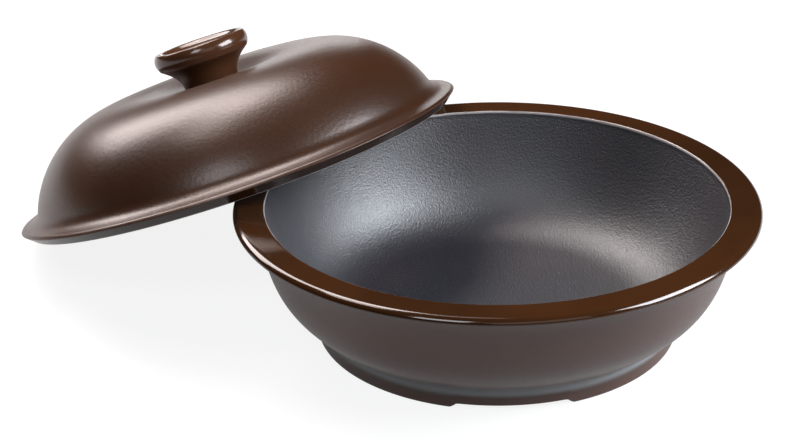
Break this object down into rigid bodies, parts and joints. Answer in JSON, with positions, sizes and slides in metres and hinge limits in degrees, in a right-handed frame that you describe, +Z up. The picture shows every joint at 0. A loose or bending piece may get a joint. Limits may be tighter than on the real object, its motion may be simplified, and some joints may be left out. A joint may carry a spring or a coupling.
{
  "type": "sweet potato roasting pot",
  "caption": "Wide round glazed ceramic roasting pot with a flat rim and a notched foot ring, its domed lid with a dished knob leaning against it.",
  "frame": {"origin": "centre of the bowl's foot ring, on the table", "axes": "+Z up along the bowl's axis, -Y towards the pictured front, +X to the right seen from the front; the lid leans against the bowl at 145 degrees from +X"},
  "size_m": [0.4484, 0.4032, 0.1367],
  "materials": {
    "pot_glaze": "dark brown glaze, glossy on the rim, satin outside, charcoal satin inside",
    "lid_glaze": "dark brown satin glaze, glossy on the knob"
  },
  "bodies": {
    "root": {"pot": "pot_glaze", "lid": "lid_glaze"}
  },
  "joints": []
}
